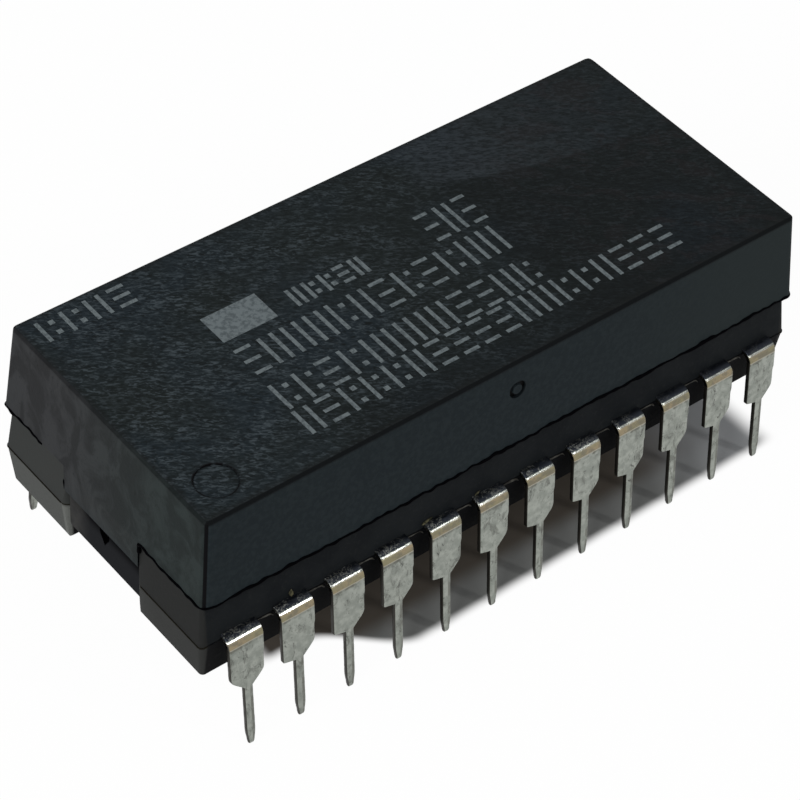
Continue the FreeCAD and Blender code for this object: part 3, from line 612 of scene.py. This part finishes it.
# The cap. Black moulded plastic gone grey with handling, with a painted reflection on the right of its
# top and painted shade along its edges, cemented on the base, with a thin uneven line of black cement
# squeezed out under its rim and down beside its tongues.
CAP_TOP = 9.225
WALL_DRAFT = 0.0787
LEAD_1_MARK = (-13.71, -5.035)
GATE_LEVEL = 7.72
UNDER_RIM = 4.80


def distance(tree, across, up):
    """How far a place is from a point, worked out from its distances across and up."""
    both = add_node(tree, "ShaderNodeCombineXYZ", X=across, Y=up)
    reach = add_node(tree, "ShaderNodeVectorMath", operation="LENGTH")
    link(tree, both.outputs[0], reach.inputs[0])
    return reach.outputs["Value"]


def fibrous_top(tree, x, y, place, cloud, fibres):
    """Pale fibres in two slants over black, thinning out to the right, with painted shade along the near
    side and towards the right.
    """
    slow = noise(tree, place, 0.16, Detail=3.0)
    to_right = remap(tree, x, -10.0, 12.0)
    strokes = arithmetic(tree, "MAXIMUM", remap(tree, fibres[0], 0.49, 0.70),
                         remap(tree, fibres[1], 0.52, 0.72, 0.0, 0.9))
    worn = product(tree, strokes, remap(tree, cloud, 0.36, 0.62, 0.28, 1.0),
                   arithmetic(tree, "SUBTRACT", 1.0, product(tree, to_right, 0.4)))
    colour = blend_colours(tree, remap(tree, slow, 0.38, 0.62),
                           (0.0115, 0.0150, 0.0150, 1), (0.0125, 0.0180, 0.0222, 1))
    colour = blend_colours(tree, remap(tree, fibres[0], 0.30, 0.48), (0.0075, 0.0095, 0.0100, 1), colour)
    colour = blend_colours(tree, worn, colour, (0.055, 0.069, 0.078, 1))
    # Painted shade along the near side and towards the right.
    near_side = product(tree, remap(tree, y, -3.0, -6.0, 0.0, 0.45), remap(tree, x, -10.0, -6.0))
    shaded = arithmetic(tree, "MAXIMUM", near_side, product(tree, to_right, 0.3))
    return blend_colours(tree, shaded, colour, (0.004, 0.005, 0.0055, 1))


def top_painted_reflection(tree, x, y, cloud, fibres, colour):
    """A colour with the top's right part over it: a painted reflection beyond a curved edge, painted
    shade on its near side, and browned in spots. The edge moves off across the top with the square of
    the way to the left."""
    from_corner = arithmetic(tree, "DIVIDE", arithmetic(tree, "SUBTRACT", 15.2, x), 7.25)
    edge = arithmetic(tree, "ADD", 1.35, product(tree, from_corner, from_corner))
    past_edge = arithmetic(tree, "SUBTRACT", y, edge)
    right_part = remap(tree, x, 2.8, 5.0)
    # Painted reflection beyond the curved edge on the right part, and painted shade on its near side.
    rubbed = product(tree, remap(tree, past_edge, -0.15, 0.15), right_part,
                     remap(tree, x, 5.0, 15.0, 0.45, 0.08), remap(tree, fibres[0], 0.36, 0.62, 0.3, 1.5))
    colour = blend_colours(tree, rubbed, colour, (0.034, 0.041, 0.048, 1))
    painted_shade_before_edge = product(tree, remap(tree, past_edge, 0.15, -0.15), right_part,
                       remap(tree, x, 6.0, 15.0, 0.38, 0.22))
    colour = blend_colours(tree, painted_shade_before_edge, colour, (0.004, 0.0048, 0.0052, 1))
    browned = product(tree, remap(tree, cloud, 0.5, 0.6, 0.0, 0.4), remap(tree, x, 4.0, 10.0))
    return blend_colours(tree, browned, colour, (0.0165, 0.0150, 0.0160, 1))


def cap_walls(tree, x, y, level, fine, cloud, streaks):
    """A plain grain on the sides, paler to the right, and grey rubs on the ends, with painted shade along
    the upright corners, below the top edge and in the groove of the gate ring."""
    far_out, aside = (arithmetic(tree, "ABSOLUTE", along) for along in (x, y))
    colour = blend_colours(tree, remap(tree, fine, 0.4, 0.65),
                           (0.0105, 0.0150, 0.0175, 1), (0.0140, 0.0195, 0.0220, 1))
    colour = blend_colours(tree, remap(tree, x, 3.0, 15.0, 0.0, 0.8), colour, (0.0170, 0.0225, 0.0232, 1))
    end = blend_colours(tree, remap(tree, y, -5.0, 4.0),
                        (0.0165, 0.0218, 0.0216, 1), (0.0235, 0.0246, 0.0262, 1))
    rubs = blend_colours(tree, remap(tree, cloud, 0.4, 0.62), (0.72, 0.72, 0.72, 1), (1.22, 1.22, 1.22, 1))
    end = blend_colours(tree, 1.0, end, rubs, "MULTIPLY")
    end = blend_colours(tree, remap(tree, streaks, 0.64, 0.72, 0.0, 0.5), end, (0.008, 0.009, 0.009, 1))
    lean = product(tree, level, WALL_DRAFT)
    past_end, past_side = (arithmetic(tree, "ADD", out_by, lean) for out_by in (far_out, aside))
    on_end = remap(tree, past_end, 15.93, 16.02)
    colour = blend_colours(tree, on_end, colour, end)
    # Painted shade along the upright corners.
    corner = product(tree, remap(tree, past_end, 15.92, 15.96), remap(tree, past_side, 7.245, 7.285))
    colour = blend_colours(tree, corner, colour, (0.0015, 0.0015, 0.002, 1))
    # Painted shade on the walls below the top edge.
    rim = product(tree, remap(tree, level, 8.95, 9.12),
                  arithmetic(tree, "SUBTRACT", 0.92, product(tree, on_end, 0.5)))
    colour = blend_colours(tree, rim, colour, (0.0018, 0.0022, 0.0026, 1))
    # Painted shade in the groove of the gate ring.
    from_gate = distance(tree, x, arithmetic(tree, "SUBTRACT", level, GATE_LEVEL))
    groove = product(tree, band(tree, from_gate, 0.25, 0.42, 0.025), remap(tree, level, 8.05, 7.95),
                     remap(tree, y, -6.0, -6.1))
    return blend_colours(tree, groove, colour, (0.0008, 0.0008, 0.001, 1))


def cap_finish():
    """Short pale fibres on the top with a painted reflection on its right part and a ring of painted
    shade round the lead 1 mark, a plainer grain down the walls, and painted shade along the edges."""
    finish, tree, shader = new_finish("cap_plastic", Roughness=0.62, Specular_IOR_Level=0.04)
    place = object_place(tree)
    x, y, level = coordinates(tree, place)
    fine = noise(tree, place, 4.2, Detail=3.0, Roughness=0.6)
    cloud = noise(tree, object_place(tree, (1.0, 1.8, 1.0), np.radians(38)), 0.5, Detail=4.0,
                  Roughness=0.65, Distortion=0.8)
    fibres = [noise(tree, object_place(tree, (1.0, 2.7, 1.0), np.radians(turn)), dense,
                    Roughness=0.55, Distortion=0.5) for turn, dense in ((32, 3.3), (43, 3.9))]
    top = top_painted_reflection(tree, x, y, cloud, fibres, fibrous_top(tree, x, y, place, cloud, fibres))
    # Painted shade along the top's rounded edges.
    near_edge = arithmetic(tree, "MAXIMUM", remap(tree, arithmetic(tree, "ABSOLUTE", x), 14.95, 15.3),
                           remap(tree, arithmetic(tree, "ABSOLUTE", y), 6.25, 6.62))
    top = blend_colours(tree, product(tree, near_edge, 0.6), top, (0.009, 0.010, 0.010, 1))
    from_mark = distance(tree, *(arithmetic(tree, "SUBTRACT", along, middle)
                                 for along, middle in zip((x, y), LEAD_1_MARK)))
    # A ring of painted shade round the rim of the lead 1 mark.
    ring = product(tree, band(tree, from_mark, 0.86, 0.95, 0.03), remap(tree, fine, 0.36, 0.55, 0.35, 1.0))
    top = blend_colours(tree, ring, top, (0.003, 0.003, 0.0035, 1))
    on_mark = product(tree, remap(tree, from_mark, 1.0, 0.95), remap(tree, level, 9.1, 9.14))
    on_top = remap(tree, level, CAP_TOP - 0.045, CAP_TOP - 0.01)
    link(tree, blend_colours(tree, arithmetic(tree, "MAXIMUM", on_top, on_mark),
                             cap_walls(tree, x, y, level, fine, cloud, fibres[1]), top),
         shader.inputs["Base Color"])
    add_bump(tree, shader, fine, 0.012)
    return finish


def cement_finish():
    """Black cement, a little blue in patches."""
    finish, tree, shader = new_finish("black_cement", Roughness=0.6, Specular_IOR_Level=0.005)
    grain = noise(tree, object_place(tree), 2.0, Detail=3.0)
    link(tree, blend_colours(tree, grain, (0.0004, 0.0004, 0.0006, 1), (0.0016, 0.0016, 0.0022, 1)),
         shader.inputs["Base Color"])
    add_bump(tree, shader, grain, 0.02)
    return finish


dress(cap_finish(), "battery_cap")
black_cement = cement_finish()
cement_runs = {
    "near": [(-15.66, -2.63, 4.15), (-15.70, -2.66, UNDER_RIM), (-15.71, -6.8, UNDER_RIM),
             (-15.65, -6.98, UNDER_RIM), (-15.48, -7.04, UNDER_RIM), (15.48, -7.03, UNDER_RIM),
             (15.62, -6.96, UNDER_RIM), (15.68, -6.8, UNDER_RIM), (15.68, -2.66, UNDER_RIM)],
    "far": [(15.68, 2.66, UNDER_RIM), (15.68, 6.8, UNDER_RIM), (15.62, 6.96, UNDER_RIM),
            (15.48, 7.02, UNDER_RIM), (-15.48, 7.02, UNDER_RIM), (-15.62, 6.96, UNDER_RIM),
            (-15.69, 6.8, UNDER_RIM), (-15.70, 4.5, UNDER_RIM),
            (-15.66, 4.3, UNDER_RIM - 0.25)],
    "tongue": [(-15.70, 2.62, 4.05), (-15.70, 2.62, 3.44)],
}
for order, (side_name, corners) in enumerate(cement_runs.items()):
    radius = (0.035 if side_name == "tongue" else 0.07) * MM
    points = bead_surface(laid_route(corners, 0.05 * MM, 0.1 * MM), radius, 2.2 * radius,
                          seed=70 + order)
    add_piece(f"cement_line_{side_name}", points, tube_faces(*points.shape[:2]), black_cement)


# The code marks. Worn grey ink stamped on the cap's top, in rows of plain bars, dashes and dots that
# say nothing, and one plain rectangle.
INK_STROKE = 0.18
INK_DOT = 0.24
# Left, right, low, high and the width of a cell
mark_rows = ((-14.6, -10.2, 4.95, 6.2, 1.15), (-5.25, -0.8, 0.93, 2.0, 0.8),
             (1.9, 4.7, 0.75, 2.55, 1.0), (-9.0, 5.0, -1.3, 0.35, 1.13), (-9.1, 4.4, -3.6, -2.06, 1.13),
             (-9.2, 11.0, -5.2, -3.75, 1.1))
mark_rectangle = (-9.0, -6.3, 0.95, 2.6)
film = CAP_TOP + np.array([-0.01, 0.012])


def mark_cells(left, right, low, high, cell, seed):
    """The marks of one row as (count, 4) limits left, right, low and high: each cell holds two upright
    bars, three dashes over each other, or a bar beside two dots, picked at random."""
    draw = np.random.default_rng(seed)
    tall, wide = high - low, cell * 0.68
    starts = np.arange(left, right - wide + 0.01, cell)
    kinds = draw.integers(0, 3, len(starts))
    bar = (0, INK_STROKE, 0, tall)
    bars = [bar, (wide - INK_STROKE, wide, 0, tall)]
    dashes = [(0, wide, share * (tall - INK_STROKE), share * (tall - INK_STROKE) + INK_STROKE)
              for share in (0.0, 0.5, 1.0)]
    dots = [bar, (wide - INK_DOT, wide, tall * 0.15, tall * 0.15 + INK_DOT),
            (wide - INK_DOT, wide, tall * 0.85 - INK_DOT, tall * 0.85)]
    sets = [np.array(marks) for marks in (bars, dashes, dots)]
    return np.concatenate([sets[kind] + (start, start, low, low) for kind, start in zip(kinds, starts)])


def ink_finish():
    """Pale grey ink, worn through in specks to the black below."""
    finish, tree, shader = new_finish("worn_ink", Roughness=0.6, Specular_IOR_Level=0.08)
    speck = noise(tree, object_place(tree, turn=np.radians(35)), 5.0, Detail=4.0, Roughness=0.65)
    link(tree, blend_colours(tree, remap(tree, speck, 0.38, 0.56),
                             (0.085, 0.102, 0.109, 1), (0.145, 0.171, 0.180, 1)),
         shader.inputs["Base Color"])
    add_bump(tree, shader, speck, 0.008)
    return finish


limits = np.concatenate([[mark_rectangle]]
                        + [mark_cells(*row, seed=100 + order) for order, row in enumerate(mark_rows)])
# Each mark is a thin block: which of its limits and which face of the film each corner takes
corner_picks = np.array([(0, 2, 0), (1, 2, 0), (1, 3, 0), (0, 3, 0), (0, 2, 1), (1, 2, 1), (1, 3, 1),
                         (0, 3, 1)])
marks = np.stack([limits[:, corner_picks[:, 0]], limits[:, corner_picks[:, 1]],
                  np.broadcast_to(film[corner_picks[:, 2]], (len(limits), 8))], axis=-1) * MM
block = np.array([(0, 3, 2, 1), (4, 5, 6, 7), (0, 1, 5, 4), (1, 2, 6, 5), (2, 3, 7, 6), (3, 0, 4, 7)])
faces = (block[None] + 8 * np.arange(len(marks))[:, None, None]).reshape(-1, 4).tolist()
add_piece("code_marks", marks, faces, ink_finish(), smooth=False)


# The inside. Cast resin fills the cap and shows in the end notches, dished, in painted shade under the
# tongues and olive grey along its lower edge; the frame, cell, crystal, die and wires are plain metal
# and silicon.
def resin_finish():
    """Smooth black resin in painted shade under the tongue, paler towards the far side of the notch, with
    painted shade in a small hollow at the middle, and olive grey where it meets the notch's floor."""
    finish, tree, shader = new_finish("cast_resin", Roughness=0.6, Specular_IOR_Level=0.0)
    place = object_place(tree)
    _, y, level = coordinates(tree, place)
    aside = arithmetic(tree, "ABSOLUTE", y)
    grain = noise(tree, place, 1.6, Detail=4.0)
    # Painted shade, darkest up under the tongue.
    colour = blend_colours(tree, remap(tree, level, 3.3, 2.4), (0.002, 0.002, 0.0022, 1),
                           (0.0165, 0.0172, 0.0190, 1))
    paler_far_side = product(tree, remap(tree, y, 0.9, 2.3), remap(tree, grain, 0.3, 0.6, 0.5, 0.9))
    colour = blend_colours(tree, paler_far_side, colour, (0.045, 0.045, 0.044, 1))
    # Painted shade in a small hollow at the middle.
    over_point = arithmetic(tree, "SUBTRACT", level, product(tree, aside, 1.6))
    hollow = product(tree, remap(tree, over_point, 2.2, 2.32), remap(tree, aside, 0.36, 0.3))
    colour = blend_colours(tree, hollow, colour, (0.0004, 0.0004, 0.0005, 1))
    rim = product(tree, remap(tree, level, 1.35, 1.05), remap(tree, grain, 0.35, 0.6, 0.35, 1.0))
    link(tree, blend_colours(tree, rim, colour, (0.085, 0.088, 0.07, 1)), shader.inputs["Base Color"])
    add_bump(tree, shader, grain, 0.012)
    return finish


def metal_finish(name, dark, light, rough):
    """Rolled or plated metal with a fine drawn grain."""
    finish, tree, shader = new_finish(name, Metallic=1.0, Roughness=rough)
    grain = noise(tree, object_place(tree, (1, 6, 6)), 2.5, Detail=4.0)
    link(tree, blend_colours(tree, grain, dark, light), shader.inputs["Base Color"])
    add_bump(tree, shader, grain, 0.004)
    return finish


dress(resin_finish(), "potting_compound")
dress(metal_finish("frame_strip", (0.5, 0.48, 0.44, 1), (0.62, 0.6, 0.55, 1), 0.35), "die_paddle",
      "battery_terminal_positive", "battery_terminal_negative", "crystal_terminal_a",
      "crystal_terminal_b", "battery_tab_positive", "battery_tab_negative")
dress(metal_finish("plated_steel", (0.62, 0.62, 0.6, 1), (0.74, 0.74, 0.72, 1), 0.25), "button_cell",
      "crystal_can", "crystal_lead_a", "crystal_lead_b")
dress(metal_finish("wafer", (0.18, 0.19, 0.23, 1), (0.24, 0.25, 0.3, 1), 0.2), "silicon_die")
dress(metal_finish("bond_gold", (0.8, 0.6, 0.24, 1), (0.9, 0.7, 0.3, 1), 0.2), "bond_wires")
